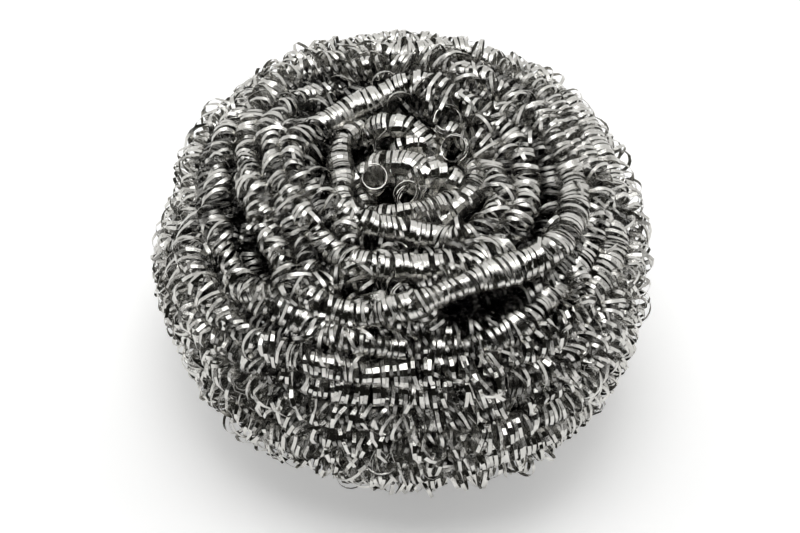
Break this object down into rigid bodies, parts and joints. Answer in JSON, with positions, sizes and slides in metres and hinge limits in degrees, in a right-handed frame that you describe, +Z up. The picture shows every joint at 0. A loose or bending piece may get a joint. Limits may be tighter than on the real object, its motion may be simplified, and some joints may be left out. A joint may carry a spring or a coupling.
{
  "type": "stainless steel scourer",
  "caption": "Round bun-shaped pot scourer: one long coiled flat steel wire wound round itself, slightly pressed flat underneath, for scrubbing pans.",
  "frame": {"origin": "centre of the bundle's outline, on the surface that it rests on", "axes": "+Z up, through the hollow in the middle of the winding; -Y faces the picture's viewer, +X is to the viewer's right"},
  "size_m": [0.0884, 0.0892, 0.0502],
  "materials": {
    "steel": "bright rolled flat wire"
  },
  "bodies": {
    "root": {"coil_bundle": "steel"}
  },
  "joints": []
}
